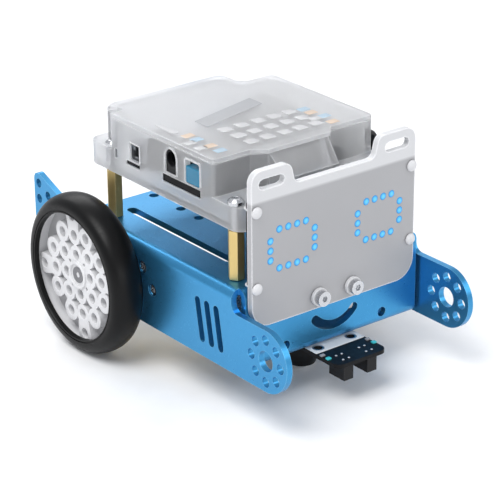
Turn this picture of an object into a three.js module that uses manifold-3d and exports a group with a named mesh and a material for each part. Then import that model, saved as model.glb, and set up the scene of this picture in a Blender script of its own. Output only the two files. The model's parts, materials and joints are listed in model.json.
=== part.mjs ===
// Two-wheel educational coding robot: bent metal chassis, geared drive wheels, caster,
// controller case on standoffs, LED display face and line sensor.
// Millimetres, +Z up. The face looks along -Y and X runs across. Lengthwise positions are
// measured from the wheel axle and heights from the ground; the exported group is then moved
// so that its origin is on the ground under the middle of the robot.
import * as THREE from 'three';
import { mergeVertices } from 'three/addons/utils/BufferGeometryUtils.js';
import Module from 'manifold-3d';

const wasm = await Module();
wasm.setup();

// ---- driving dimensions ----
const GAP = 0.3; // clearance between touching pieces
const SHEET = 2.5; // chassis sheet thickness
const BEND = 3.8; // outside radius of every chassis bend
const HALF_WIDTH = 44.7; // outer face of a side plate
const TOP_Z = 50.3; // top face of the chassis
const BOTTOM_Z = 17.8; // lower edge of the side plates
const FLANGE_Z = 18.0; // underside of the front flange
const FRONT_Y = -84.5; // outer face of the front plate
const TOP_REAR_Y = 15.5; // rear edge of the top plate
const EAR = { y: -100.6, z: 29.9, r: 12.1, hole: 4, ringRadius: 8.3, ringHole: 2, holes: 8 };
const TAIL_Y = 48.4; // rear edge of the side plates
const FACE_X = 0.8; // centre line of the slot and sensor in the front plate

const AXLE_Z = 32; // wheel radius, so also the axle height
const WHEEL = { inner: 46.6, outer: 60.5, lip: 26, seat: 29.3, segments: 40 };
const HUB = { rim: 29, rimInner: 27, face: 57, back: 53.6, pitch: 8, boss: 5.6, hole: 2.1 };
const HUB_TURN = 0.124; // radians, the lattice's angle at rest

const CASE = { x: -1.2, half: 37.8, front: -78.5, rear: 16.6, z0: 70, shelf: 79.3, top: 92 };
const CASE_WALL = 2;
const BODY = { wing: -63.5, block: -67, toe: -75.3, toeZ: 84.2, rear: 10, corner: 10, wideNotch: 16 };
const LID = { z0: 92.3, z1: 93.9 };
const SCREW_WAY = 3.8; // radius of the upright groove over the rear right case screw
const POSTS = { x: 35.1, front: -73.3, rear: 3.4 }; // standoffs, x from the case's centre line

const DISPLAY = { x: -1.7, half: 38.5, z0: 35.8, z1: 87.9, top: 96.2, back: -84.8, front: -87.4 };
const DISPLAY_SCREW = { x: 8, z: 40.7 };
const RIVET = { x: 36.5, z: [51.5, 81] };
const BOARD_T = 1.6; // every circuit board
const WASHER_T = 1.4; // under each display screw

const SENSOR = { z: 16, front: -101, rear: -55, half: 12 };
const CASTER = { y: -65, ball: 5, cup: 5.4, outer: 6.7, mouthZ: 2.6, top: 15.7, screw: 9.6 };

const BLUE = { color: 0x2f8fd8, roughness: 0.35, metalness: 0.7 };
const RUBBER = { color: 0x18181a, roughness: 0.6, metalness: 0 };
const WHITE = { color: 0xeef0f2, roughness: 0.45, metalness: 0 };
const FROST = { color: 0xd9dde0, roughness: 0.4, metalness: 0 };
const STEEL = { color: 0xc9ccd0, roughness: 0.25, metalness: 1 };
const BRASS = { color: 0xc9a84c, roughness: 0.3, metalness: 1 };
const BLACK = { color: 0x151517, roughness: 0.5, metalness: 0 };
const PCB = { color: 0x17191d, roughness: 0.55, metalness: 0 };
const SWITCH_BLUE = { color: 0x1684a8, roughness: 0.4, metalness: 0 };
const MOTOR_BODY = { color: 0xe7c52e, roughness: 0.5, metalness: 0 };

const robot = new THREE.Group();

// ---- solids ----
function solid(geometry) {
  const bare = geometry.clone();
  bare.deleteAttribute('normal');
  bare.deleteAttribute('uv');
  const merged = mergeVertices(bare, 1e-4);
  const corners = merged.index.array;
  const kept = [];
  for (let i = 0; i < corners.length; i += 3) {
    const [a, b, c] = corners.slice(i, i + 3);
    if (a !== b && b !== c && c !== a) kept.push(a, b, c);
  }
  return new wasm.Manifold(new wasm.Mesh({
    numProp: 3,
    vertProperties: new Float32Array(merged.attributes.position.array),
    triVerts: new Uint32Array(kept),
  }));
}

function join(first, ...others) {
  return others.reduce((whole, piece) => whole.add(piece), first);
}

function cut(first, ...tools) {
  return tools.reduce((whole, tool) => whole.subtract(tool), first);
}

function mirrored(piece) {
  const { vertProperties, triVerts } = piece.getMesh();
  const flippedVertices = vertProperties.map((value, i) => (i % 3 === 0 ? -value : value));
  const flippedTriangles = new Uint32Array(triVerts.length);
  for (let i = 0; i < triVerts.length; i += 3) {
    flippedTriangles.set([triVerts[i], triVerts[i + 2], triVerts[i + 1]], i);
  }
  const mesh = { numProp: 3, vertProperties: flippedVertices, triVerts: flippedTriangles };
  return new wasm.Manifold(new wasm.Mesh(mesh));
}

function addPart(name, piece, look) {
  const mesh = piece.getMesh();
  const geometry = new THREE.BufferGeometry();
  geometry.setAttribute('position', new THREE.BufferAttribute(mesh.vertProperties.slice(), 3));
  geometry.setIndex(new THREE.BufferAttribute(mesh.triVerts.slice(), 1));
  geometry.computeVertexNormals();
  const part = new THREE.Mesh(geometry, new THREE.MeshStandardMaterial(look));
  part.name = name;
  robot.add(part);
}

// ---- outlines ----
const rad = THREE.MathUtils.degToRad;

function arc(u, v, r, fromDegrees, toDegrees, steps) {
  return Array.from({ length: steps + 1 }, (_, i) => {
    const angle = rad(fromDegrees + ((toDegrees - fromDegrees) * i) / steps);
    return new THREE.Vector2(u + r * Math.cos(angle), v + r * Math.sin(angle));
  });
}

function point(u, v) {
  return new THREE.Vector2(u, v);
}

function circle(u, v, r, steps = 20) {
  return arc(u, v, r, 0, 360, steps).slice(0, steps);
}

function slot(u1, v1, u2, v2, r, steps = 9) {
  const heading = THREE.MathUtils.radToDeg(Math.atan2(v2 - v1, u2 - u1));
  return [
    ...arc(u1, v1, r, heading + 90, heading + 270, steps),
    ...arc(u2, v2, r, heading - 90, heading + 90, steps),
  ];
}

function roundedBox(u0, v0, u1, v1, r, steps = 5) {
  return [
    ...arc(u1 - r, v0 + r, r, -90, 0, steps),
    ...arc(u1 - r, v1 - r, r, 0, 90, steps),
    ...arc(u0 + r, v1 - r, r, 90, 180, steps),
    ...arc(u0 + r, v0 + r, r, 180, 270, steps),
  ];
}

// The outline's two coordinates are (y, z) for a plate along x, (x, z) along y, (x, y) along z.
const PLACES = {
  x: [new THREE.Vector3(0, 1, 0), new THREE.Vector3(0, 0, 1), new THREE.Vector3(1, 0, 0)],
  y: [new THREE.Vector3(1, 0, 0), new THREE.Vector3(0, 0, 1), new THREE.Vector3(0, -1, 0)],
  z: [new THREE.Vector3(1, 0, 0), new THREE.Vector3(0, 1, 0), new THREE.Vector3(0, 0, 1)],
};

function prism(axis, outline, from, to, holes = []) {
  const shape = new THREE.Shape(outline);
  shape.holes = holes.map((hole) => new THREE.Path(hole));
  const depth = to - from;
  const geometry = new THREE.ExtrudeGeometry(shape, { depth, bevelEnabled: false });
  geometry.applyMatrix4(new THREE.Matrix4().makeBasis(...PLACES[axis]));
  const start = axis === 'y' ? to : from;
  geometry.translate(...['x', 'y', 'z'].map((name) => (name === axis ? start : 0)));
  return solid(geometry);
}

function box(x0, x1, y0, y1, z0, z1) {
  const geometry = new THREE.BoxGeometry(x1 - x0, y1 - y0, z1 - z0);
  geometry.translate((x0 + x1) / 2, (y0 + y1) / 2, (z0 + z1) / 2);
  return solid(geometry);
}

// A turned piece: the profile's points are (distance along the axis, radius).
function turned(axis, profile, x, y, z, segments) {
  const points = profile.map(([along, r]) => new THREE.Vector2(r, along));
  const geometry = new THREE.LatheGeometry(points, segments);
  if (axis === 'x') geometry.rotateZ(-Math.PI / 2);
  if (axis === 'y') geometry.rotateX(Math.PI);
  if (axis === 'z') geometry.rotateX(Math.PI / 2);
  geometry.translate(x, y, z);
  const piece = solid(geometry);
  return piece.volume() > 0 ? piece : solid(reversed(geometry));
}

function reversed(geometry) {
  const flipped = geometry.clone();
  const corners = Array.from(flipped.index.array);
  for (let i = 0; i < corners.length; i += 3) {
    [corners[i + 1], corners[i + 2]] = [corners[i + 2], corners[i + 1]];
  }
  flipped.setIndex(corners);
  return flipped;
}

function rod(axis, r, from, to, u, v, steps = 24) {
  return prism(axis, circle(u, v, r, steps), from, to);
}

// ---- chassis: one bent sheet ----
function bendAlongY(side) {
  const x = side * (HALF_WIDTH - BEND);
  const z = TOP_Z - BEND;
  const angles = side > 0 ? [0, 90] : [90, 180];
  const outline = [
    ...arc(x, z, BEND, ...angles, 7),
    ...arc(x, z, BEND - SHEET, angles[1], angles[0], 5),
  ];
  return prism('y', outline, FRONT_Y + BEND, TOP_REAR_Y);
}

function bendAlongX(z, fromDegrees, toDegrees, halfLength) {
  const y = FRONT_Y + BEND;
  const outline = [
    ...arc(y, z, BEND, fromDegrees, toDegrees, 7),
    ...arc(y, z, BEND - SHEET, toDegrees, fromDegrees, 5),
  ];
  return prism('x', outline, -halfLength, halfLength);
}

const MOTOR_SCREWS = [[-31.8, 33.3], [-25.8, 40.8]];
const MOTOR_SCREW_HOLE = 2.5;
const RELIEF = 3.5; // radius of the notch between each side plate and the front plate
const SIDE_SLOTS = { first: -60.5, step: -5.6, count: 3, lean: 2.6, z0: 25, z1: 39.6, r: 1.6 };
const TAIL_HOLES = [[45, 53], [38.6, 49.4], [45, 46.4], [41.6, 41.6]];

function sidePlate(side) {
  const bendZ = TOP_Z - BEND;
  const outline = [
    point(22.5, BOTTOM_Z),
    ...arc(EAR.y, EAR.z, EAR.r, 270, 90, 32),
    ...arc(FRONT_Y + BEND - RELIEF, EAR.z + EAR.r + RELIEF, RELIEF, -90, 0, 8),
    point(FRONT_Y + BEND, bendZ),
    point(TOP_REAR_Y, bendZ),
    point(TOP_REAR_Y + 2, bendZ - 1.5),
    point(TOP_REAR_Y + 3, 49.6),
    point(31.2, 51.8),
    ...arc(45.4, 54.2, 3, 105, 0, 8),
    ...arc(TAIL_Y - 3, 39, 3, 0, -52, 6),
  ];
  const ring = Array.from({ length: EAR.holes }, (_, i) => {
    const angle = rad((360 / EAR.holes) * i);
    const y = EAR.y + EAR.ringRadius * Math.cos(angle);
    return circle(y, EAR.z + EAR.ringRadius * Math.sin(angle), EAR.ringHole, 18);
  });
  const slots = Array.from({ length: SIDE_SLOTS.count }, (_, i) => {
    const y = SIDE_SLOTS.first + SIDE_SLOTS.step * i;
    return slot(y, SIDE_SLOTS.z1, y - SIDE_SLOTS.lean, SIDE_SLOTS.z0, SIDE_SLOTS.r, 7);
  });
  const holes = [
    circle(EAR.y, EAR.z, EAR.hole, 32),
    ...MOTOR_SCREWS.map(([y, z]) => circle(y, z, MOTOR_SCREW_HOLE)),
    circle(0, AXLE_Z, 5.5, 28),
    ...TAIL_HOLES.map(([y, z]) => circle(y, z, 1.9, 18)),
    ...ring,
    ...slots,
  ];
  const from = side > 0 ? HALF_WIDTH - SHEET : -HALF_WIDTH;
  return prism('x', outline, from, from + SHEET, holes);
}

const TOP_SLOT = { x: 28, y0: -58, y1: 4, r: 2.1 };
const TOP_HOLES = { x: 12.8, y: [10.8, -7.2, -19] };
const FRONT_HALF = 41; // half the length of the front plate and its bends

function topPlate() {
  const half = HALF_WIDTH - BEND;
  const outline = [
    point(-half, FRONT_Y + BEND),
    point(half, FRONT_Y + BEND),
    point(half, TOP_REAR_Y),
    point(-half, TOP_REAR_Y),
  ];
  const holes = [];
  for (const side of [-1, 1]) {
    const x = side * TOP_SLOT.x;
    holes.push(slot(x, TOP_SLOT.y0, x, TOP_SLOT.y1, TOP_SLOT.r));
    for (const y of TOP_HOLES.y) holes.push(circle(side * TOP_HOLES.x, y, 2));
    for (const y of [POSTS.front, POSTS.rear]) {
      holes.push(circle(CASE.x + side * POSTS.x, y, 2, 16));
    }
  }
  return prism('z', outline, TOP_Z - SHEET, TOP_Z, holes);
}

const FACE_HOLE = { x: 23.3, z: 23.3, r: 2 };
const SMILE = { z: 37.85, r: 12.5, half: 1.85, sweep: 48 };

function smile() {
  const { z, r, half, sweep } = SMILE;
  const low = 270 - sweep;
  const high = 270 + sweep;
  const [lowEnd] = arc(FACE_X, z, r, low, high, 1);
  const highEnd = arc(FACE_X, z, r, low, high, 1)[1];
  return [
    ...arc(FACE_X, z, r + half, low, high, 20),
    ...arc(highEnd.x, highEnd.y, half, high, high + 180, 8).slice(1),
    ...arc(FACE_X, z, r - half, high, low, 16).slice(1),
    ...arc(lowEnd.x, lowEnd.y, half, low - 180, low, 8).slice(1, 8),
  ];
}

function frontPlate() {
  const lowBendZ = FLANGE_Z + BEND;
  const topBendZ = TOP_Z - BEND;
  const outline = [
    point(-FRONT_HALF, lowBendZ),
    point(FRONT_HALF, lowBendZ),
    point(FRONT_HALF, topBendZ),
    point(-FRONT_HALF, topBendZ),
  ];
  const holes = [smile()];
  for (const side of [-1, 1]) {
    holes.push(circle(DISPLAY.x + side * DISPLAY_SCREW.x, DISPLAY_SCREW.z, 2.2));
  }
  return prism('y', outline, FRONT_Y, FRONT_Y + SHEET, holes);
}

function frontFlange() {
  const y = FRONT_Y + BEND;
  const outline = [
    point(-FRONT_HALF, y),
    point(FRONT_HALF, y),
    point(FRONT_HALF, y + 5),
    point(20, y + 11),
    point(20, -53),
    point(-20, -53),
    point(-20, y + 11),
    point(-FRONT_HALF, y + 5),
  ];
  const holes = [-1, 1].map((side) => circle(FACE_X + side * CASTER.screw, CASTER.y, 1.8, 16));
  return prism('z', outline, FLANGE_Z, FLANGE_Z + SHEET, holes);
}

const chassis = join(
  topPlate(),
  sidePlate(-1),
  sidePlate(1),
  bendAlongY(-1),
  bendAlongY(1),
  frontPlate(),
  bendAlongX(TOP_Z - BEND, 90, 180, FRONT_HALF),
  bendAlongX(FLANGE_Z + BEND, 180, 270, FRONT_HALF),
  frontFlange(),
);
const faceHoles = [-1, 1].map((side) =>
  rod('y', FACE_HOLE.r, FRONT_Y - 1, FRONT_Y + 5, FACE_X + side * FACE_HOLE.x, FACE_HOLE.z, 12));
addPart('chassis', cut(chassis, ...faceHoles), BLUE);

// ---- drive on each side, drawn for the -X side ----
function tyre() {
  const middle = (WHEEL.inner + WHEEL.outer) / 2;
  const half = (WHEEL.outer - WHEEL.inner) / 2;
  const crown = Array.from({ length: 11 }, (_, i) => {
    const angle = -Math.PI / 2 + (Math.PI * i) / 10;
    const along = half * Math.sign(Math.sin(angle)) * Math.abs(Math.sin(angle)) ** 0.85;
    return [along, WHEEL.lip + 1 + (AXLE_Z - WHEEL.lip - 1) * Math.cos(angle) ** 0.75];
  });
  const inside = [
    [half, WHEEL.lip],
    [half - 2.2, WHEEL.lip],
    [half - 2.2, WHEEL.seat],
    [-half + 2.2, WHEEL.seat],
    [-half + 2.2, WHEEL.lip],
    [-half, WHEEL.lip],
  ];
  const profile = [...crown, ...inside, crown[0]];
  return turned('x', profile, -middle, 0, AXLE_Z, WHEEL.segments);
}

function hubPoint(across, up) {
  const cos = Math.cos(HUB_TURN);
  const sin = Math.sin(HUB_TURN);
  return [-HUB.pitch * (across * cos - up * sin), HUB.pitch * (across * sin + up * cos)];
}

function hub() {
  const rim = prism('x', circle(0, AXLE_Z, HUB.rim, WHEEL.segments), -HUB.face - 1, -49.1, [
    circle(0, AXLE_Z, HUB.rimInner, 32),
  ]);
  const holes = [];
  for (let across = -3; across <= 3; across += 1) {
    for (let up = -3; up <= 3; up += 1) {
      const reach = Math.hypot(across, up);
      if (reach === 0 || reach > 3 || reach === Math.hypot(2, 2)) continue;
      const [y, z] = hubPoint(across, up);
      holes.push(circle(y, AXLE_Z + z, HUB.hole, 8));
    }
  }
  const lattice = prism('x', circle(0, AXLE_Z, HUB.rimInner + 0.5, 32), -HUB.face, -HUB.back, holes);
  const boss = rod('x', HUB.boss, -HUB.face - 0.8, -WHEEL.inner - 0.2, 0, AXLE_Z, 20);
  const recess = rod('x', 4.2, -HUB.face - 1, -55.4, 0, AXLE_Z);
  const bore = rod('x', 3, -53.5, -40, 0, AXLE_Z);
  const screwWay = rod('x', 1.6, -56, -53, 0, AXLE_Z, 10);
  return cut(join(rim, lattice, boss), recess, bore, screwWay);
}

function hubScrew() {
  const head = rod('x', 3.3, -57.3, -55.7, 0, AXLE_Z);
  const socket = rod('x', 1.3, -58, -56.5, 0, AXLE_Z, 6);
  return join(cut(head, socket), rod('x', 1.2, -56, -49.5, 0, AXLE_Z, 10));
}

function outputShaft() {
  const flat = box(-53.1, -45, -3, 3, AXLE_Z + 1.9, AXLE_Z + 4);
  const shaft = rod('x', 2.7, -53.1, -36.5, 0, AXLE_Z);
  return cut(shaft, flat, rod('x', 1.5, -54, -48, 0, AXLE_Z, 10));
}

const GEARBOX = { x0: -41.9, x1: -23.1, y0: -37, y1: 11.2, half: 11.2 };

function gearbox() {
  const outline = roundedBox(GEARBOX.y0, AXLE_Z - GEARBOX.half, GEARBOX.y1, AXLE_Z + GEARBOX.half, 2);
  const body = prism('x', outline, GEARBOX.x0, GEARBOX.x1);
  const screwHoles = MOTOR_SCREWS.map(([y, z]) =>
    rod('x', 1.8, GEARBOX.x0 - 1, GEARBOX.x0 + 9, y, z, 10));
  return cut(body, rod('x', 3.1, GEARBOX.x0 - 1, -36, 0, AXLE_Z), ...screwHoles);
}

function motor() {
  const centre = (GEARBOX.x0 + GEARBOX.x1) / 2;
  const round = rod('y', 10, -61.5, GEARBOX.y0 - GAP, centre, AXLE_Z, 24);
  const flats = box(centre - 7.6, centre + 7.6, -70, 0, AXLE_Z - 12, AXLE_Z + 12);
  const nose = rod('y', 3, -63.5, -61, centre, AXLE_Z, 12);
  return join(round.intersect(flats), nose);
}

function motorScrew([y, z]) {
  const front = -HALF_WIDTH + 0.4;
  const head = rod('x', MOTOR_SCREW_HOLE - GAP, front, GEARBOX.x0 - GAP, y, z);
  const socket = rod('x', 1.2, front - 2, front + 1.2, y, z, 6);
  const shank = rod('x', 1.5, front + 1.5, GEARBOX.x0 + 8, y, z, 12);
  return join(cut(head, socket), shank);
}

const DRIVE = [
  ['tyre', tyre(), RUBBER],
  ['wheel_hub', hub(), WHITE],
  ['hub_screw', hubScrew(), STEEL],
  ['output_shaft', outputShaft(), WHITE],
  ['gearbox', gearbox(), MOTOR_BODY],
  ['motor', motor(), STEEL],
  ['motor_screw_front', motorScrew(MOTOR_SCREWS[0]), STEEL],
  ['motor_screw_upper', motorScrew(MOTOR_SCREWS[1]), STEEL],
];
for (const [name, piece, look] of DRIVE) {
  addPart(`right_${name}`, piece, look);
  addPart(`left_${name}`, mirrored(piece), look);
}

// ---- controller case ----
const caseX = (offset) => CASE.x + offset;

// Footprint of the case's upper body: set-back wings at the front, a middle block, and a cut-off
// corner on each side at the rear. The inset makes the same outline smaller for the inside.
function bodyOutline(inset, blockFront) {
  const half = CASE.half - inset;
  const wing = BODY.wing + inset;
  const rear = BODY.rear - inset;
  return [
    ...arc(caseX(-half + 1.5), wing + 1.5, 1.5, 180, 270, 4),
    point(caseX(-21 + inset), wing),
    point(caseX(-15.5 + inset), blockFront + inset),
    point(caseX(13.5 - inset), blockFront + inset),
    point(caseX(17 - inset), wing),
    ...arc(caseX(half - 1.5), wing + 1.5, 1.5, 270, 360, 4),
    ...arc(caseX(half - 2), -5 - inset, 2, 0, 90, 5),
    point(caseX(CASE.half - BODY.wideNotch - inset + 3), -3 - inset),
    point(caseX(CASE.half - BODY.wideNotch - inset), 0 - inset),
    ...arc(caseX(CASE.half - BODY.wideNotch - inset - 3), rear - 3, 3, 0, 90, 6),
    ...arc(caseX(-CASE.half + BODY.corner), BODY.rear - BODY.corner, BODY.corner - inset, 90, 180, 12),
  ];
}

// The sloped toe of the middle block, from the top edge down and forward to the shelf.
function toe(inset, low, high) {
  const profile = [
    point(BODY.block + 1 + inset, low),
    point(BODY.toe + inset, low),
    point(BODY.toe + inset, BODY.toeZ - inset * 0.5),
    point(BODY.block + inset * 0.9, high),
    point(BODY.block + 1 + inset, high),
  ];
  const wedge = prism('x', profile, caseX(-21), caseX(17));
  const plan = [
    point(caseX(-16.3 + inset), BODY.wing + 4),
    point(caseX(-13.2 + inset), BODY.toe - 1),
    point(caseX(11.2 - inset), BODY.toe - 1),
    point(caseX(14.3 - inset), BODY.wing + 4),
  ];
  return wedge.intersect(prism('z', plan, low, high));
}

const PORT = { z0: 78.6, height: 12.4, width: 12.4, depth: 9.6, first: -54.2, step: 13.5, count: 4 };
const PORT_MOUTH = { z: 83.8, half: 5, halfHeight: 3.6, depth: 7.8 };
const CASE_LEFT = CASE.x - CASE.half;
const CASE_RIGHT = CASE.x + CASE.half;
const BOARD_Z = 76.6;
const USB = { y0: -17.9, y1: -11.5, z0: 78.5, z1: 85.5 };
const JACK = { y: -38, z: 86.6, half: 3.5, z0: 80.8, z1: 90.6 };
const SWITCH = { y0: -55.8, y1: -47.2, z0: 80.4, z1: 89.6 };
const BOARD_POSTS = { x: 29, y: [-54, -14] };

function archOutline(y, half, z0, z1) {
  return [point(y - half, z0), point(y + half, z0), ...arc(y, z1 - half, half, 0, 180, 12)];
}

// The groove over the rear right screw, or its wall where the radius is grown.
function screwGroove(radius, low, high) {
  return rod('z', radius, low, high, caseX(-POSTS.x), POSTS.rear);
}

function caseBase() {
  const tray = prism('z',
    roundedBox(CASE_LEFT, CASE.front, CASE_RIGHT, CASE.rear, 5), CASE.z0, CASE.shelf);
  const body = prism('z', bodyOutline(0, BODY.block), CASE.shelf - 1, CASE.top);
  const inset = CASE_WALL;
  const trayInside = prism('z',
    roundedBox(CASE_LEFT + inset, CASE.front + inset, CASE_RIGHT - inset, CASE.rear - inset, 3),
    CASE.z0 + inset, CASE.shelf - inset);
  const bodyInside = cut(
    prism('z', bodyOutline(inset, BODY.block), CASE.z0 + inset, CASE.top + 1),
    screwGroove(SCREW_WAY + 1.6, CASE.shelf - inset, CASE.top + 2));
  const shell = cut(
    join(tray, body, toe(0, CASE.shelf - 1, CASE.top)),
    trayInside, bodyInside, toe(inset, CASE.shelf - 3, CASE.top + 1),
    screwGroove(SCREW_WAY, CASE.shelf, CASE.top + 1));
  const wallFrom = CASE_LEFT - 1;
  const wallTo = CASE_LEFT + inset + 1;
  const rightFrom = CASE_RIGHT - inset - 1;
  const windows = [
    box(wallFrom, wallTo, USB.y0, USB.y1, USB.z0, USB.z1),
    box(wallFrom, wallTo, USB.y0, USB.y1 + 2.8, BOARD_Z - 0.6, BOARD_Z + 1.2),
    prism('x', archOutline(JACK.y, JACK.half, JACK.z0, JACK.z1), wallFrom, wallTo),
    box(wallFrom, wallTo, SWITCH.y0, SWITCH.y1, SWITCH.z0, SWITCH.z1),
    box(wallFrom, wallTo, SWITCH.y0, -32, BOARD_Z - 0.3, 79.6),
    box(wallFrom, wallTo, -3.2, -1.4, BOARD_Z - 0.3, CASE.shelf + 1),
  ];
  for (let i = 0; i < PORT.count; i += 1) {
    const y = PORT.first + PORT.step * i;
    const reach = PORT_MOUTH.halfHeight + 0.5;
    windows.push(box(rightFrom, CASE_RIGHT + 1, y - 5.4, y + 5.4,
      PORT_MOUTH.z - reach, PORT_MOUTH.z + reach));
  }
  const columns = [];
  const screwWays = [];
  for (const side of [-1, 1]) {
    const x = caseX(side * (POSTS.x - 0.9));
    for (const y of [POSTS.front, POSTS.rear]) {
      columns.push(rod('z', 3.4, CASE.z0 + 1, CASE.shelf - 1, x, y, 12));
      screwWays.push(rod('z', 1.8, CASE.z0 - 1, CASE.shelf + 1, caseX(side * POSTS.x), y, 10));
    }
    for (const y of BOARD_POSTS.y) {
      columns.push(rod('z', 2.4, CASE.z0 + 1, BOARD_Z - GAP, caseX(side * BOARD_POSTS.x), y, 10));
    }
  }
  return cut(join(shell, ...columns), ...windows, ...screwWays);
}

function caseLid() {
  const plate = prism('z', bodyOutline(0, BODY.block - 0.6), LID.z0, LID.z1);
  const rim = prism('z', bodyOutline(CASE_WALL + GAP, BODY.wing), LID.z0 - 1.2, LID.z0 + 0.2);
  const room = prism('z', bodyOutline(CASE_WALL + GAP + 1.2, BODY.wing), LID.z0 - 2, LID.z0 + 0.1);
  return cut(
    join(plate, cut(rim, room, screwGroove(SCREW_WAY + 1.6 + GAP, LID.z0 - 2, LID.z0))),
    screwGroove(SCREW_WAY, LID.z0 - 2, LID.z1 + 1));
}

addPart('case_base', caseBase(), FROST);
addPart('case_lid', caseLid(), FROST);

function standoff(x, y) {
  const hex = rod('z', 3.2, TOP_Z + GAP, CASE.z0 - GAP, x, y, 6);
  const stud = rod('z', 1.6, TOP_Z - SHEET - 2.4, TOP_Z + 1, x, y, 10);
  return cut(join(hex, stud), rod('z', 1.8, CASE.z0 - 7, CASE.z0, x, y, 10));
}

function caseScrew(x, y) {
  const z = CASE.shelf + GAP;
  const head = turned('z', [[0, 0], [0, 3.2], [1.2, 3.1], [2.2, 2], [2.5, 0]], x, y, z, 14);
  const socket = rod('z', 1.2, z + 1.2, z + 4, x, y, 6);
  return join(cut(head, socket), rod('z', 1.5, z - 14, z + 0.3, x, y, 10));
}

const CORNERS = [
  ['front_right', -1, POSTS.front],
  ['front_left', 1, POSTS.front],
  ['rear_right', -1, POSTS.rear],
  ['rear_left', 1, POSTS.rear],
];
for (const [name, side, y] of CORNERS) {
  addPart(`standoff_${name}`, standoff(caseX(side * POSTS.x), y), BRASS);
  addPart(`case_screw_${name}`, caseScrew(caseX(side * POSTS.x), y), STEEL);
}

// ---- inside the case ----
const boardTop = BOARD_Z + BOARD_T;
const board = prism('z', roundedBox(caseX(-33.8), -60, caseX(33.8), -9.5, 2), BOARD_Z, boardTop);
addPart('main_board', board, PCB);

const inLeft = CASE_LEFT + CASE_WALL + GAP;
const usbBody = box(inLeft, inLeft + 13, USB.y0 - 2.4, USB.y1 + 1.6, boardTop + GAP, 89);
const usbMouth = box(inLeft - 1, inLeft + 8, USB.y0, USB.y1, 79.4, 85.4);
const usbTongue = box(inLeft + 1, inLeft + 9, USB.y0 + 1.6, USB.y1 - 1.6, 81.2, 83.6);
addPart('usb_socket', join(cut(usbBody, usbMouth), usbTongue), STEEL);

const jackBody = box(inLeft, inLeft + 13, JACK.y - 4.6, JACK.y + 4.6, boardTop + GAP, 90.8);
const jackBore = rod('x', 3.1, inLeft - 1, inLeft + 10, JACK.y, JACK.z);
const jackPin = rod('x', 1, inLeft + 1, inLeft + 11, JACK.y, JACK.z, 10);
addPart('power_jack', join(cut(jackBody, jackBore), jackPin), BLACK);

const switchGap = 0.35;
const buttonZ = { z0: SWITCH.z0 + switchGap, z1: SWITCH.z1 - 2.4 };
const switchBack = inLeft + 4.4;
const switchBody = cut(
  box(switchBack, inLeft + 14, SWITCH.y0 + GAP, SWITCH.y1 + 2, boardTop + GAP, 90.6),
  box(switchBack - 1, inLeft + 9.4, -53.8, -49.2, 81.8, 87));
addPart('power_switch_body', switchBody, BLACK);
const buttonCap = box(CASE_LEFT - 0.4, switchBack - 2.2,
  SWITCH.y0 + switchGap, SWITCH.y1 - switchGap, buttonZ.z0, buttonZ.z1);
const buttonStem = box(switchBack - 3, inLeft + 6.6, -53.3, -49.7, 82.3, 86.5);
addPart('power_switch_button', join(buttonCap, buttonStem), SWITCH_BLUE);

function portBody(y) {
  const x1 = CASE_RIGHT - CASE_WALL - GAP;
  const half = PORT.width / 2;
  const body = box(x1 - PORT.depth, x1, y - half, y + half, boardTop + GAP, PORT.z0 + PORT.height);
  const { z, halfHeight } = PORT_MOUTH;
  const mouth = box(x1 - PORT_MOUTH.depth, x1 + 1, y - PORT_MOUTH.half, y + PORT_MOUTH.half,
    z - halfHeight, z + halfHeight);
  return cut(body, mouth);
}
for (let i = 0; i < PORT.count; i += 1) {
  addPart(`module_port_${i + 1}`, portBody(PORT.first + PORT.step * i), WHITE);
}

const BUZZER = { x: 6, y: -22 };
addPart('buzzer', cut(
  rod('z', 5.5, boardTop + GAP, boardTop + 8.8, BUZZER.x, BUZZER.y, 20),
  rod('z', 1, boardTop + 6, boardTop + 10, BUZZER.x, BUZZER.y, 8)), BLACK);
addPart('controller_chip', prism('z', roundedBox(-16, -38, -6, -28, 0.4, 1),
  boardTop + GAP, boardTop + 2), BLACK);
addPart('infrared_receiver', prism('y', archOutline(22.8, 1.6, boardTop + GAP, 83.2),
  -60.8, -58), BLACK);

// ---- display ----
function displayPlate() {
  const { half, z0, z1, top } = DISPLAY;
  const ear = { outer: half, inner: half - 18.6, corner: 4.6 };
  const rightEdge = [
    ...arc(DISPLAY.x + half - 8.2, z0 + 8.2, 8.2, -90, 0, 12),
    ...arc(DISPLAY.x + half - ear.corner, top - ear.corner, ear.corner, 0, 90, 8),
    ...arc(DISPLAY.x + ear.inner + 3.6, top - 3.6, 3.6, 90, 160, 6),
    ...arc(DISPLAY.x + ear.inner - 3.6, z1 + 3, 3, 340, 270, 6),
  ];
  const leftEdge = rightEdge.map((p) => point(2 * DISPLAY.x - p.x, p.y)).reverse();
  const holes = [];
  for (const side of [-1, 1]) {
    const x = DISPLAY.x + side * 29.4;
    holes.push(slot(x - 3.9, 90.9, x + 3.9, 90.9, 2, 4));
    holes.push(circle(DISPLAY.x + side * DISPLAY_SCREW.x, DISPLAY_SCREW.z, 2.2));
    for (const z of RIVET.z) holes.push(circle(DISPLAY.x + side * RIVET.x, z, 1.2, 14));
  }
  return prism('y', [...rightEdge, ...leftEdge], DISPLAY.front, DISPLAY.back, holes);
}
addPart('display_plate', displayPlate(), FROST);


const LED_BOARD = { half: 37.5, z0: 50.7, z1: 84.2 };
const ledBack = DISPLAY.back + GAP + BOARD_T;

function displayBoard() {
  const { half, z0, z1 } = LED_BOARD;
  const outline = roundedBox(DISPLAY.x - half, z0, DISPLAY.x + half, z1, 0.8, 1);
  const notches = [-1, 1].flatMap((side) => RIVET.z.map((z) =>
    rod('y', 1.2, DISPLAY.back, ledBack + 1, DISPLAY.x + side * RIVET.x, z, 8)));
  return cut(prism('y', outline, DISPLAY.back + GAP, ledBack), ...notches);
}
addPart('display_board', displayBoard(), PCB);

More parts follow.
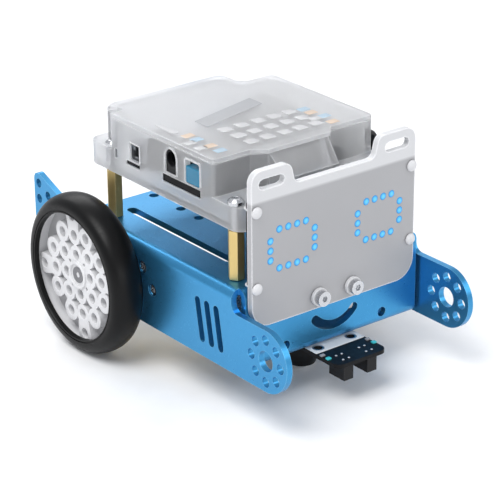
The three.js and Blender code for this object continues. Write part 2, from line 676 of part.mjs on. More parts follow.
const SOCKET = { x0: 18, x1: 30, y: -77.2, z: 61.8, depth: 11.6, half: 6.2 };

function displaySocket() {
  const y0 = ledBack + GAP;
  const body = box(SOCKET.x0, SOCKET.x1, y0, y0 + SOCKET.depth,
    SOCKET.z - SOCKET.half, SOCKET.z + SOCKET.half);
  const mouth = box(SOCKET.x0 - 1, SOCKET.x0 + PORT_MOUTH.depth,
    SOCKET.y - PORT_MOUTH.halfHeight, SOCKET.y + PORT_MOUTH.halfHeight,
    SOCKET.z - PORT_MOUTH.half, SOCKET.z + PORT_MOUTH.half);
  return cut(body, mouth);
}
addPart('display_socket', displaySocket(), WHITE);

function rivet(x, z) {
  const front = DISPLAY.front - GAP;
  const head = turned('y', [[0, 0], [0, 2.3], [0.6, 2.1], [1.1, 1.3], [1.3, 0]], x, front, z, 20);
  return join(head, rod('y', 0.9, front - 0.3, ledBack + 1.2, x, z, 8));
}

function displayScrew(x, z) {
  const front = DISPLAY.front - GAP - WASHER_T - GAP;
  const head = rod('y', 2.85, front - 2, front, x, z, 24);
  const socket = rod('y', 1.3, front - 3, front - 0.9, x, z, 6);
  return join(cut(head, socket), rod('y', 1.5, front - 0.3, FRONT_Y + SHEET + 3, x, z, 10));
}

const SIDES = [['right', -1], ['left', 1]];
for (const [name, side] of SIDES) {
  RIVET.z.forEach((z, i) => {
    addPart(`display_rivet_${name}_${i + 1}`, rivet(DISPLAY.x + side * RIVET.x, z), WHITE);
  });
  const x = DISPLAY.x + side * DISPLAY_SCREW.x;
  addPart(`display_screw_${name}`, displayScrew(x, DISPLAY_SCREW.z), STEEL);
  const washer = prism('y', circle(x, DISPLAY_SCREW.z, 3.5, 28),
    DISPLAY.front - GAP - WASHER_T, DISPLAY.front - GAP, [circle(x, DISPLAY_SCREW.z, 1.8)]);
  addPart(`display_washer_${name}`, washer, WHITE);
}

// ---- line sensor and caster, both held by the same two screws under the front flange ----
const sensorBoard = prism('z',
  roundedBox(FACE_X - SENSOR.half, SENSOR.front, FACE_X + SENSOR.half, SENSOR.rear, 3),
  SENSOR.z, SENSOR.z + BOARD_T, [
    ...SIDES.map(([, side]) => circle(FACE_X + side * 7.9, -84.6, 1.6, 18)),
    ...SIDES.map(([, side]) => circle(FACE_X + side * CASTER.screw, CASTER.y, 1.8, 16)),
  ]);
addPart('sensor_board', sensorBoard, PCB);

function infraredSensor(side) {
  const x0 = FACE_X + side * 5.65 - 2.25;
  const body = box(x0, x0 + 4.5, -99.6, -90.9, 9.6, SENSOR.z - GAP);
  const lenses = [-97.2, -93.3].map((y) => rod('z', 1.5, 8.9, 10, x0 + 2.25, y, 10));
  return join(body, ...lenses);
}

function casterScrew(x) {
  const top = CASTER.top - 2.8 - GAP;
  const head = rod('z', 2.5, top - 2, top, x, CASTER.y, 14);
  const socket = rod('z', 1.2, top - 3, top - 0.9, x, CASTER.y, 6);
  return join(cut(head, socket), rod('z', 1.5, top - 0.3, FLANGE_Z + SHEET + 2.5, x, CASTER.y, 10));
}

for (const [name, side] of SIDES) {
  addPart(`infrared_sensor_${name}`, infraredSensor(side), BLACK);
  addPart(`caster_screw_${name}`, casterScrew(FACE_X + side * CASTER.screw), STEEL);
}

function casterHousing() {
  const { cup, ball, outer, mouthZ, top, screw, y } = CASTER;
  const mouthAngle = THREE.MathUtils.radToDeg(Math.asin((mouthZ - ball) / cup));
  const inside = arc(0, ball, cup, mouthAngle, 90, 7).map((p) => [p.y, p.x]);
  inside[inside.length - 1][1] = 0;
  const profile = [[top, 0], [top, outer], [8, outer], [5, 6.3], [mouthZ, 5.6], ...inside];
  const cupBody = turned('z', profile, FACE_X, y, 0, 24);
  const lugs = prism('z', slot(FACE_X - screw, y, FACE_X + screw, y, 3.3), top - 2.8, top);
  const holes = SIDES.map(([, side]) =>
    rod('z', 1.8, top - 4, top + 1, FACE_X + side * screw, y, 10));
  return cut(join(cupBody, cut(lugs, rod('z', 3, 0, top + 1, FACE_X, y))), ...holes);
}
addPart('caster_housing', casterHousing(), BLACK);

const ballGeometry = new THREE.SphereGeometry(CASTER.ball, 20, 12);
ballGeometry.rotateX(Math.PI / 2);
ballGeometry.translate(FACE_X, CASTER.y, CASTER.ball);
addPart('caster_ball', solid(ballGeometry), STEEL);

// ---- patch cable from the case's first port to the display ----
const CABLE = { width: 6, thick: 2, samples: 72 };

// Each row is a point on the cable's centre line and the direction its width lies in there.
const CABLE_PATH = [
  [35.2, PORT.first, PORT_MOUTH.z, 0, 1, 0],
  [38.8, PORT.first, PORT_MOUTH.z, 0, 1, 0],
  [42.6, PORT.first, 83.2, 0, 1, 0],
  [44.3, -54.4, 80.6, 0, 1, 0],
  [43.2, -54.6, 77.4, 0, 1, 0],
  [42, -54.6, 73, 0, 1, 0],
  [41, -54, 64, 0.25, 1, 0],
  [37, -48, 56, 1, 0.8, 0],
  [31.5, -38, 52.4, 1, 0.3, 0],
  [28.6, -22, 52, 1, 0, 0],
  [26, -4, 52, 1, 0.3, 0],
  [16, 6, 52, 0, 1, 0],
  [6.4, -4, 52, -1, 0.3, 0],
  [5, -24, 52, -1, 0, 0],
  [5, -44, 52, -1, 0, 0],
  [4.6, -57, 52.8, -1, 0, 0.3],
  [4, -66, 56.4, -0.5, 0, 1],
  [5, -73.6, 60.6, 0, 0, 1],
  [10, SOCKET.y, SOCKET.z, 0, 0, 1],
  [16.6, SOCKET.y, SOCKET.z, 0, 0, 1],
];

function ribbon(rows, width, thick, samples) {
  const line = new THREE.CatmullRomCurve3(rows.map((r) => new THREE.Vector3(r[0], r[1], r[2])));
  const widths = new THREE.CatmullRomCurve3(rows.map((r) => new THREE.Vector3(r[3], r[4], r[5])));
  const bevel = thick * 0.25;
  const section = [
    [width / 2, -thick / 2 + bevel],
    [width / 2, thick / 2 - bevel],
    [width / 2 - bevel, thick / 2],
    [-width / 2 + bevel, thick / 2],
    [-width / 2, thick / 2 - bevel],
    [-width / 2, -thick / 2 + bevel],
    [-width / 2 + bevel, -thick / 2],
    [width / 2 - bevel, -thick / 2],
  ];
  const positions = [];
  for (let i = 0; i <= samples; i += 1) {
    const centre = line.getPoint(i / samples);
    const heading = line.getTangent(i / samples);
    const across = widths.getPoint(i / samples);
    across.addScaledVector(heading, -across.dot(heading)).normalize();
    const up = new THREE.Vector3().crossVectors(heading, across);
    for (const [w, t] of section) {
      const corner = centre.clone().addScaledVector(across, w).addScaledVector(up, t);
      positions.push(...corner.toArray());
    }
  }
  const size = section.length;
  const last = samples * size;
  const corners = [];
  for (let i = 0; i < samples; i += 1) {
    for (let j = 0; j < size; j += 1) {
      const a = i * size + j;
      const b = i * size + ((j + 1) % size);
      corners.push(a, a + size, b, b, a + size, b + size);
    }
  }
  for (let j = 1; j < size - 1; j += 1) {
    corners.push(0, j, j + 1, last, last + j + 1, last + j);
  }
  const geometry = new THREE.BufferGeometry();
  geometry.setAttribute('position', new THREE.Float32BufferAttribute(positions, 3));
  geometry.setIndex(corners);
  const piece = solid(geometry);
  return piece.volume() > 0 ? piece : solid(reversed(geometry));
}
addPart('patch_cable', ribbon(CABLE_PATH, CABLE.width, CABLE.thick, CABLE.samples), BLACK);

const PLUG = { width: 9.4, thick: 6.6, length: 11.4, pocket: 3.4 };
const plugEnd = CASE_RIGHT - CASE_WALL - GAP - PORT_MOUTH.depth + GAP;
const casePlug = box(plugEnd, plugEnd + PLUG.length,
  PORT.first - PLUG.width / 2, PORT.first + PLUG.width / 2,
  PORT_MOUTH.z - PLUG.thick / 2, PORT_MOUTH.z + PLUG.thick / 2);
const casePocket = box(plugEnd + PLUG.length - PLUG.pocket, plugEnd + PLUG.length + 1,
  PORT.first - CABLE.width / 2 - GAP, PORT.first + CABLE.width / 2 + GAP,
  PORT_MOUTH.z - CABLE.thick / 2 - GAP, PORT_MOUTH.z + CABLE.thick / 2 + GAP);
addPart('patch_plug_case', cut(casePlug, casePocket), BLACK);

const socketEnd = SOCKET.x0 + PORT_MOUTH.depth - GAP;
const displayPlug = box(socketEnd - PLUG.length, socketEnd,
  SOCKET.y - PLUG.thick / 2, SOCKET.y + PLUG.thick / 2,
  SOCKET.z - PLUG.width / 2, SOCKET.z + PLUG.width / 2);
const displayPocket = box(socketEnd - PLUG.length - 1, socketEnd - PLUG.length + PLUG.pocket,
  SOCKET.y - CABLE.thick / 2 - GAP, SOCKET.y + CABLE.thick / 2 + GAP,
  SOCKET.z - CABLE.width / 2 - GAP, SOCKET.z + CABLE.width / 2 + GAP);
addPart('patch_plug_display', cut(displayPlug, displayPocket), BLACK);

// ---- centre the robot lengthwise on the origin ----
robot.position.y = -(EAR.y - EAR.r + TAIL_Y) / 2;

export default robot;
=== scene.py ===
"""Looks of a two-wheel classroom coding robot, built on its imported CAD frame.

Lengths along the robot (y) are given from the wheel axle and heights (z) from the ground, in
millimetres, as in the CAD source. at() turns them into the frame's metres.
"""

import json
import math

import bmesh
import bpy
from mathutils import Euler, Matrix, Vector


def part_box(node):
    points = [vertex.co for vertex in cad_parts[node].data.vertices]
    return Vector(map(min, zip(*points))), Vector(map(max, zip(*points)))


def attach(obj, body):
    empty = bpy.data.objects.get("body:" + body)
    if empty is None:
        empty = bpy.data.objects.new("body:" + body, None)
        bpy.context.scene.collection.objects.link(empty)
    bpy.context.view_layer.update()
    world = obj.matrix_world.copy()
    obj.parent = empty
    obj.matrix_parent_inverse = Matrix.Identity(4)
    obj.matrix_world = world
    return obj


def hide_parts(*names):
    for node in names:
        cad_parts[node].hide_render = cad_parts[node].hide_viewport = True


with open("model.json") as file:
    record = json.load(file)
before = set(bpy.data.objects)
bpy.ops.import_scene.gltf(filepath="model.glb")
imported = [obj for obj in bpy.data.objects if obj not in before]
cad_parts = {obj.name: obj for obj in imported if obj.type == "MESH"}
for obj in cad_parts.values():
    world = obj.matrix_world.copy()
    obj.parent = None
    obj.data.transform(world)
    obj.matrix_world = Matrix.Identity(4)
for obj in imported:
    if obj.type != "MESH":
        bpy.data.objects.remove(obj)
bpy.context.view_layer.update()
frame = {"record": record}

MM = 0.001
RECORD = frame["record"]
SLOT_OF = {part["node"]: part["material_slot"] for part in RECORD["subparts"]}
BODY_OF = {node: body for body, nodes in RECORD["behaviour"]["bodies"].items() for node in nodes}


def centre(node):
    low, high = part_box(node)
    return (Vector(low) + Vector(high)) / 2


AXLE = centre("right_tyre")
AXLE_Y = AXLE.y / MM
AXLE_Z = AXLE.z / MM


def at(x, y, z):
    """A point given in millimetres from the axle and the ground, in the frame's metres."""
    return Vector((x * MM, (y + AXLE_Y) * MM, z * MM))


# ---------------------------------------------------------------- camera and light

CAMERA_AT = (-466.6, -635.6, 369.4)
CAMERA_TURN = (66.58, 0.44, -38.0)
CAMERA_LENS = 154.4
CAMERA_SHIFT = (0.001, -0.0063)
CAMERA_REACH = 20
FILM_WIDTH = 36
LIGHT_AIM = (0, 0, 0.04)
# name, place, size (all in metres) and power in watts
LIGHTS = [
    ("key", (-0.55, -0.15, 1.0), (0.6, 0.6), 8.5),
    ("fill", (0.75, -0.8, 0.6), (0.8, 0.6), 3.0),
    ("back", (0.3, 0.9, 0.8), (1.0, 0.5), 5.0),
    ("front", (-0.25, -1.3, 0.3), (0.9, 0.3), 2.2),
]
SKY = (0.93, 0.95, 1.0, 1)
SKY_STRENGTH = 0.62
FLOOR_REACH = 6.0
FLOOR_CORNERS = ((-1, -1), (1, -1), (1, 1), (-1, 1))


def add_camera():
    data = bpy.data.cameras.new("camera")
    data.lens = CAMERA_LENS
    data.sensor_width = FILM_WIDTH
    data.shift_x, data.shift_y = CAMERA_SHIFT
    data.clip_end = CAMERA_REACH
    camera = bpy.data.objects.new("camera", data)
    camera.location = at(*CAMERA_AT)
    camera.rotation_euler = Euler([math.radians(a) for a in CAMERA_TURN])
    bpy.context.scene.collection.objects.link(camera)
    bpy.context.scene.camera = camera


def add_light(name, place, size, power):
    data = bpy.data.lights.new(name, "AREA")
    data.shape = "RECTANGLE"
    data.size, data.size_y = size
    data.energy = power
    light = bpy.data.objects.new(name, data)
    light.location = place
    towards = Vector(LIGHT_AIM) - Vector(place)
    light.rotation_euler = towards.to_track_quat("-Z", "Y").to_euler()
    bpy.context.scene.collection.objects.link(light)


def add_studio():
    world = bpy.data.worlds.new("studio")
    bpy.context.scene.world = world
    world.use_nodes = True
    background = world.node_tree.nodes["Background"]
    background.inputs["Color"].default_value = SKY
    background.inputs["Strength"].default_value = SKY_STRENGTH
    for light in LIGHTS:
        add_light(*light)
    floor = bpy.data.meshes.new("floor")
    corners = [(x * FLOOR_REACH, y * FLOOR_REACH, 0) for x, y in FLOOR_CORNERS]
    floor.from_pydata(corners, [], [(0, 1, 2, 3)])
    floor_piece = bpy.data.objects.new("floor", floor)
    bpy.context.scene.collection.objects.link(floor_piece)
    floor.materials.append(paint("floor_paper", (0.93, 0.93, 0.93), 0.7, grain=400, bump=0.00002))
    bpy.context.scene.view_settings.view_transform = "Standard"


# ---------------------------------------------------------------- materials

# noise scales are per metre; NOISE_SPAN is the part of a noise's range that is used
MOTTLE_SCALE = 35
GRAIN_DETAIL = 4.0
NOISE_SPAN = (0.3, 0.7)
# how much of the edge colour is mixed in, and how far the surface has turned for it; the edge
# colour is wear together with a painted highlight
EDGE_SHARE = 0.75
EDGE_FACING = (0.995, 0.9)
EDGE_SAMPLES = 4
CLEAR_AT_EDGE = 0.25
BUMP_STRENGTH = 0.6
COAT_ROUGHNESS = 0.2
SUBSURFACE_SCALE = 0.003
GLOW_ROUGHNESS = 0.35
GLOW_SPAN = (0.12, 0.95)


class Nodes:
    """One material and its nodes. A socket is given by its name, with _ for each space."""

    def __init__(self, name):
        self.material = bpy.data.materials.new(name)
        self.material.use_nodes = True
        self.tree = self.material.node_tree
        self.shader = self.tree.nodes["Principled BSDF"]

    def add(self, kind, **values):
        node = self.tree.nodes.new("ShaderNode" + kind)
        for socket, value in values.items():
            self.feed(node.inputs[socket.replace("_", " ")], value)
        return node

    def feed(self, socket, value):
        if isinstance(value, bpy.types.NodeSocket):
            self.tree.links.new(value, socket)
        else:
            socket.default_value = value

    def set(self, **values):
        for socket, value in values.items():
            self.feed(self.shader.inputs[socket.replace("_", " ")], value)

    def noise(self, place, scale, detail=3.0, stretch=None):
        if stretch:
            place = self.add("Mapping", Scale=stretch, Vector=place).outputs["Vector"]
        return self.add("TexNoise", Scale=scale, Detail=detail, Vector=place).outputs["Fac"]

    def remap(self, value, low, high, start=0.0, stop=1.0):
        node = self.add("MapRange", From_Min=start, From_Max=stop, To_Min=low, To_Max=high,
                        Value=value)
        return node.outputs["Result"]

    def mix(self, factor, first, second):
        node = self.tree.nodes.new("ShaderNodeMix")
        node.data_type = "RGBA"
        for name, value in (("Factor", factor), ("A", first), ("B", second)):
            self.feed([s for s in node.inputs if s.name == name and s.enabled][0], value)
        return [s for s in node.outputs if s.enabled][0]

    def worn_highlit_edge(self, width):
        """0 on a flat face, up to EDGE_SHARE where the surface turns within that width: where worn
        edges and their painted highlight go.
        """
        bevel = self.add("Bevel", Radius=width * MM)
        bevel.samples = EDGE_SAMPLES
        facing = self.tree.nodes.new("ShaderNodeVectorMath")
        facing.operation = "DOT_PRODUCT"
        self.feed(facing.inputs[0], bevel.outputs["Normal"])
        self.feed(facing.inputs[1], self.add("NewGeometry").outputs["Normal"])
        return self.remap(facing.outputs["Value"], 0.0, EDGE_SHARE, *EDGE_FACING)


def mottled(nodes, place, colour, mottle):
    dark = (*[c * (1 - mottle) for c in colour], 1)
    light = (*[min(1, c * (1 + mottle)) for c in colour], 1)
    slow = nodes.noise(place, MOTTLE_SCALE)
    return nodes.mix(nodes.remap(slow, 0, 1, *NOISE_SPAN), dark, light)


def with_band(nodes, place, tone, upper_colour, low_edge, high_edge):
    """Turns to a second colour between two heights, given in millimetres from the ground."""
    height = nodes.add("SeparateXYZ", Vector=place).outputs["Z"]
    share = nodes.remap(height, 0.0, 1.0, low_edge * MM, high_edge * MM)
    return nodes.mix(share, tone, (*upper_colour, 1))


def paint(name, colour, roughness, metallic=0.0, mottle=0.04, grain=900, bump=0.00001,
          rough_change=0.06, edge=None, edge_width=0.35, transmission=0.0, coat=0.0,
          subsurface=0.0, streaks=None, ior=1.45, upper=None, specular=0.5):
    """A principled surface: slow colour mottling, fine grain, changing gloss, and worn edges with a
    painted highlight.
    """
    nodes = Nodes(name)
    nodes.set(Metallic=metallic, IOR=ior, Specular_IOR_Level=specular, Coat_Weight=coat,
              Coat_Roughness=COAT_ROUGHNESS, Transmission_Weight=transmission)
    if subsurface:
        nodes.set(Subsurface_Weight=subsurface, Subsurface_Radius=(1, 1, 1),
                  Subsurface_Scale=SUBSURFACE_SCALE)
    place = nodes.add("TexCoord").outputs["Object"]
    tone = mottled(nodes, place, colour, mottle)
    if upper:
        tone = with_band(nodes, place, tone, *upper)
    # edge colour: wear on the edges together with a painted highlight along them
    if edge:
        wear_and_highlight = nodes.worn_highlit_edge(edge_width)
        tone = nodes.mix(wear_and_highlight, tone, (*edge, 1))
        if transmission:
            clear = nodes.remap(wear_and_highlight, transmission, transmission * CLEAR_AT_EDGE)
            nodes.set(Transmission_Weight=clear)
    fine = nodes.noise(place, grain, GRAIN_DETAIL, streaks)
    gloss = nodes.remap(fine, roughness - rough_change, roughness + rough_change, *NOISE_SPAN)
    relief = nodes.add("Bump", Strength=BUMP_STRENGTH, Distance=bump, Height=fine)
    nodes.set(Base_Color=tone, Roughness=gloss, Normal=relief.outputs["Normal"])
    return nodes.material


def glow(name, rim_colour, middle_colour, strength):
    """A light-emitting dot: its colour changes from rim to middle by the piece's own shade."""
    nodes = Nodes(name)
    shade = nodes.add("Attribute")
    shade.attribute_name = "middle"
    ramp = nodes.add("ValToRGB", Fac=shade.outputs["Fac"])
    rim, middle = ramp.color_ramp.elements
    rim.color = (*rim_colour, 1)
    middle.color = (*middle_colour, 1)
    rim.position, middle.position = GLOW_SPAN
    nodes.set(Base_Color=ramp.outputs["Color"], Emission_Color=ramp.outputs["Color"],
              Emission_Strength=strength, Roughness=GLOW_ROUGHNESS)
    return nodes.material


# colours are linear, and each edge colour is wear with a painted highlight; bump is in metres,
# edge_width in millimetres
LOOKS = {
    "anodised_blue": dict(colour=(0.055, 0.295, 0.570), roughness=0.33, metallic=0.85, grain=1600,
                          bump=0.000004, edge=(0.22, 0.60, 0.85), mottle=0.03),
    "case_frost": dict(colour=(0.86, 0.865, 0.875), roughness=0.36, transmission=0.78, ior=1.2,
                       grain=90, bump=0.000006, mottle=0.015, rough_change=0.03,
                       edge=(0.97, 0.97, 0.98), edge_width=0.7),
    # the display's grey is painted shade of the dark board seen through the frosted plate; above 84
    # mm, where no board stands behind the plate, it turns to a lighter colour
    "display_frost": dict(colour=(0.365, 0.365, 0.375), roughness=0.38, grain=500, bump=0.000008,
                          coat=0.15, mottle=0.02, edge=(0.93, 0.93, 0.94), edge_width=0.8,
                          upper=((0.60, 0.605, 0.615), 83.7, 84.9)),
    "circuit_board": dict(colour=(0.004, 0.004, 0.005), roughness=0.42, grain=500, specular=0.2),
    "socket_metal": dict(colour=(0.55, 0.56, 0.58), roughness=0.32, metallic=1.0, grain=700),
    "black_plastic": dict(colour=(0.006, 0.006, 0.007), roughness=0.42, grain=800,
                          edge=(0.035, 0.035, 0.038), specular=0.3),
    "switch_blue": dict(colour=(0.001, 0.15, 0.27), roughness=0.34, coat=0.3,
                        edge=(0.03, 0.34, 0.50)),
    "white_plastic": dict(colour=(0.74, 0.74, 0.72), roughness=0.45, subsurface=0.1,
                          edge=(0.86, 0.86, 0.85)),
    "cable_jacket": dict(colour=(0.014, 0.014, 0.015), roughness=0.4, grain=600),
    "ball_steel": dict(colour=(0.62, 0.63, 0.65), roughness=0.16, metallic=1.0, rough_change=0.04),
    "tyre_rubber": dict(colour=(0.0035, 0.0035, 0.0037), roughness=0.38, grain=1200,
                        bump=0.00001, mottle=0.2, specular=0.22),
    "hub_white": dict(colour=(0.70, 0.70, 0.71), roughness=0.38, edge=(0.88, 0.88, 0.88),
                      edge_width=0.25, grain=700),
    # the hub's white plastic made darker for the web: painted shade behind the standing lattice
    "hub_painted_shade": dict(colour=(0.46, 0.46, 0.47), roughness=0.42, edge=(0.70, 0.70, 0.70),
                      edge_width=0.2, grain=700),
    "gearbox_yellow": dict(colour=(0.72, 0.47, 0.03), roughness=0.42, subsurface=0.1,
                           edge=(0.85, 0.62, 0.1)),
    "motor_steel": dict(colour=(0.60, 0.60, 0.61), roughness=0.28, metallic=1.0, grain=600,
                        streaks=(1, 12, 1)),
    "screw_steel": dict(colour=(0.56, 0.57, 0.59), roughness=0.26, metallic=1.0, grain=900,
                        edge=(0.85, 0.86, 0.88)),
    # darker copy of the screw steel for the hub screws: painted shade of the bore they sit in
    "shaded_screw_steel": dict(colour=(0.20, 0.20, 0.21), roughness=0.36, metallic=0.9, grain=900,
                       edge=(0.42, 0.42, 0.44)),
    "rivet_white": dict(colour=(0.62, 0.62, 0.63), roughness=0.34, grain=700, coat=0.15,
                        edge=(0.85, 0.85, 0.86)),
    "brass": dict(colour=(0.66, 0.50, 0.21), roughness=0.42, metallic=0.85, grain=260,
                  mottle=0.015, bump=0.000001, streaks=(3, 3, 0.2), edge=(0.84, 0.70, 0.40)),
}
MATERIALS = {slot: paint(slot, **look) for slot, look in LOOKS.items()}
# CAD pieces whose look isn't that of their material slot; the hub screws' dark steel is painted
# shade of the bore they sit in
OWN_LOOK = {"right_hub_screw": "shaded_screw_steel", "left_hub_screw": "shaded_screw_steel"}


# ---------------------------------------------------------------- mesh helpers

def finish_piece(mesh, name, body, slot, stands_for=(), material=None):
    """Makes a mesh a piece of the model: its material (the slot's own unless one is given), its
    body, and the CAD pieces it replaces, which are hidden.
    """
    piece = bpy.data.objects.new(name, mesh)
    bpy.context.scene.collection.objects.link(piece)
    if not mesh.materials:
        mesh.materials.append(material or MATERIALS[slot])
    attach(piece, body)
    if stands_for:
        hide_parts(*stands_for)
    return piece


def smooth(mesh, sharp_degrees):
    mesh.shade_smooth()
    mesh.set_sharp_from_angle(angle=math.radians(sharp_degrees))
    return mesh


def finished(work, name):
    """Ends a bmesh as a new mesh."""
    mesh = bpy.data.meshes.new(name)
    work.to_mesh(mesh)
    work.free()
    return mesh


def edited(mesh, change):
    """Runs a bmesh change on a mesh, in place."""
    work = bmesh.new()
    work.from_mesh(mesh)
    change(work)
    work.to_mesh(mesh)
    work.free()
    return mesh


def weld(work, gap=1e-6):
    bmesh.ops.remove_doubles(work, verts=work.verts, dist=gap)


def face_out(work):
    bmesh.ops.recalc_face_normals(work, faces=work.faces)


def face_back(work):
    bmesh.ops.reverse_faces(work, faces=work.faces)


def bridge(work, here, there):
    """Joins two closed loops of the same number of points with a band of faces."""
    for j in range(len(here)):
        k = (j + 1) % len(here)
        work.faces.new((here[j], here[k], there[k], there[j]))


def weigh_normals(piece):
    modifier = piece.modifiers.new("weigh", "WEIGHTED_NORMAL")
    modifier.keep_sharp = True


FLAT_ANGLE = math.radians(0.6)
CORNER_ANGLE = math.radians(32)
SMOOTH_DEGREES = 40
BEVEL_STEPS = 2


def round_corners(work, round_off):
    weld(work, 2e-6)
    bmesh.ops.dissolve_limit(work, angle_limit=FLAT_ANGLE, verts=work.verts, edges=work.edges)
    corners = [e for e in work.edges
               if len(e.link_faces) == 2 and e.calc_face_angle(0) > CORNER_ANGLE]
    bmesh.ops.bevel(work, geom=corners, offset=round_off * MM, offset_type="OFFSET",
                    segments=BEVEL_STEPS, profile=0.5, affect="EDGES", clamp_overlap=True)
    bmesh.ops.triangulate(work, faces=[f for f in work.faces if len(f.verts) > 4])


def refined(node, round_off):
    """The CAD piece with its machining edges rounded off, in a material with detail."""
    mesh = bpy.data.objects[node].data.copy()
    mesh.materials.clear()
    edited(mesh, lambda work: round_corners(work, round_off))
    smooth(mesh, SMOOTH_DEGREES)
    piece = finish_piece(mesh, node + "_refined", BODY_OF[node], SLOT_OF[node], [node],
                         MATERIALS[OWN_LOOK.get(node, SLOT_OF[node])])
    weigh_normals(piece)
    return piece


def ring_points(u, v, radius, steps=32, start=0.0, end=360.0, closed=True):
    """Points on a circle, or on the arc from start to end where it isn't closed."""
    count = steps if closed else steps + 1
    turn = math.radians(end - start) / steps
    first = math.radians(start)
    return [(u + radius * math.cos(first + turn * i), v + radius * math.sin(first + turn * i))
            for i in range(count)]


def sheet_mesh(name, outlines, thickness, round_off):
    """A flat plate in millimetres with rounded edges; the outlines inside the first are holes."""
    curve = bpy.data.curves.new(name, "CURVE")
    curve.dimensions = "2D"
    curve.fill_mode = "BOTH"
    curve.extrude = (thickness / 2 - round_off) * MM
    curve.bevel_depth = round_off * MM
    curve.bevel_resolution = BEVEL_STEPS
    curve.offset = -round_off * MM
    for outline in outlines:
        spline = curve.splines.new("POLY")
        spline.points.add(len(outline) - 1)
        for point, (u, v) in zip(spline.points, outline):
            point.co = (u * MM, v * MM, 0, 1)
        spline.use_cyclic_u = True
    helper = bpy.data.objects.new(name, curve)
    bpy.context.scene.collection.objects.link(helper)
    graph = bpy.context.evaluated_depsgraph_get()
    mesh = bpy.data.meshes.new_from_object(helper.evaluated_get(graph))
    bpy.data.objects.remove(helper)
    bpy.data.curves.remove(curve)
    return edited(mesh, weld)


def turned_mesh(name, profile, steps=128):
    """A closed profile of (along, radius) in millimetres turned about the x axis."""
    work = bmesh.new()
    rings = []
    for i in range(steps):
        angle = 2 * math.pi * i / steps
        rings.append([work.verts.new((a * MM, r * MM * math.cos(angle), r * MM * math.sin(angle)))
                      for a, r in profile])
    for here, there in zip(rings, rings[1:] + rings[:1]):
        bridge(work, here, there)
    weld(work, 1e-7)
    face_out(work)
    return finished(work, name)


def merged(name, meshes):
    work = bmesh.new()
    for mesh in meshes:
        work.from_mesh(mesh)
    return finished(work, name)


def move_mesh(mesh, change):
    """Gives every point of a mesh the place that change makes of its old one."""
    for vertex in mesh.vertices:
        vertex.co = change(vertex.co)
    return mesh


def shift_mesh(mesh, x=0.0, z=0.0):
    return move_mesh(mesh, lambda co: co + Vector((x * MM, 0, z * MM)))


# ---------------------------------------------------------------- the patch cable

CABLE_WIDTH = 6.0
CABLE_THICK = 2.0
CABLE_SAMPLES = 220
# shallow waves on the flat faces, one for each wire inside
RIPPLE = 0.12
RIPPLE_WAVES = 5
RIPPLE_FROM = 0.8
HALF_ROUND_STEPS = 6
PLUG_ROUND = 0.4
PORT_Y = -54.2
PORT_Z = 83.8
SOCKET_Y = -77.2
SOCKET_Z = 61.8
# a point on the centre line, then the direction that the cable's width lies in
CABLE_PATH = [
    (35.2, PORT_Y, PORT_Z, 0, 1, 0),
    (38.8, PORT_Y, PORT_Z, 0, 1, 0),
    (42.6, PORT_Y, 83.2, 0, 1, 0),
    (44.3, -54.4, 80.6, 0, 1, 0),
    (43.2, -54.6, 77.4, 0, 1, 0),
    (42, -54.6, 73, 0, 1, 0),
    (41, -54, 64, 0.25, 1, 0),
    (37, -48, 56, 1, 0.8, 0),
    (31.5, -38, 52.4, 1, 0.3, 0),
    (28.6, -22, 52, 1, 0, 0),
    (26, -4, 52, 1, 0.3, 0),
    (16, 6, 52, 0, 1, 0),
    (6.4, -4, 52, -1, 0.3, 0),
    (5, -24, 52, -1, 0, 0),
    (5, -44, 52, -1, 0, 0),
    (4.6, -57, 52.8, -1, 0, 0.3),
    (4, -66, 56.4, -0.5, 0, 1),
    (5, -73.6, 60.6, 0, 0, 1),
    (10, SOCKET_Y, SOCKET_Z, 0, 0, 1),
    (16.6, SOCKET_Y, SOCKET_Z, 0, 0, 1),
]


def blend_points(rows, t):
    """A smooth curve through the rows, at t from 0 to 1."""
    last = len(rows) - 1
    place = min(max(t, 0), 0.999999) * last
    i = int(place)
    s = place - i
    p = [Vector(rows[min(max(k, 0), last)]) for k in (i - 1, i, i + 1, i + 2)]
    if i == 0:
        p[0] = p[1] * 2 - p[2]
    if i + 2 > last:
        p[3] = p[2] * 2 - p[1]
    return 0.5 * (2 * p[1] + (p[2] - p[0]) * s + (2 * p[0] - 5 * p[1] + 4 * p[2] - p[3]) * s * s
                  + (3 * p[1] - p[0] - 3 * p[2] + p[3]) * s ** 3)


def cable_section():
    """The flat cable's outline: two half rounds, as (across, up) from its middle."""
    half_round = CABLE_THICK / 2
    reach = CABLE_WIDTH / 2 - half_round
    section = []
    for side, first in ((1, -90), (-1, 90)):
        for i in range(HALF_ROUND_STEPS + 1):
            angle = math.radians(first + 180 * i / HALF_ROUND_STEPS)
            section.append((side * reach + half_round * math.cos(angle),
                            half_round * math.sin(angle)))
    return section


def wire_groove(across, up):
    """How far the flat faces dip between the wires inside."""
    if abs(up) <= CABLE_THICK / 2 * RIPPLE_FROM:
        return 0
    return abs(RIPPLE * math.cos(across / CABLE_WIDTH * 2 * math.pi * RIPPLE_WAVES))


def cable_ring(work, section, middle, heading, width_way):
    across = (width_way - heading * width_way.dot(heading)).normalized()
    up = heading.cross(across)
    ring = []
    for w, t in section:
        dipped = t - math.copysign(wire_groove(w, t), t)
        ring.append(work.verts.new(at(*(middle + across * w + up * dipped))))
    return ring


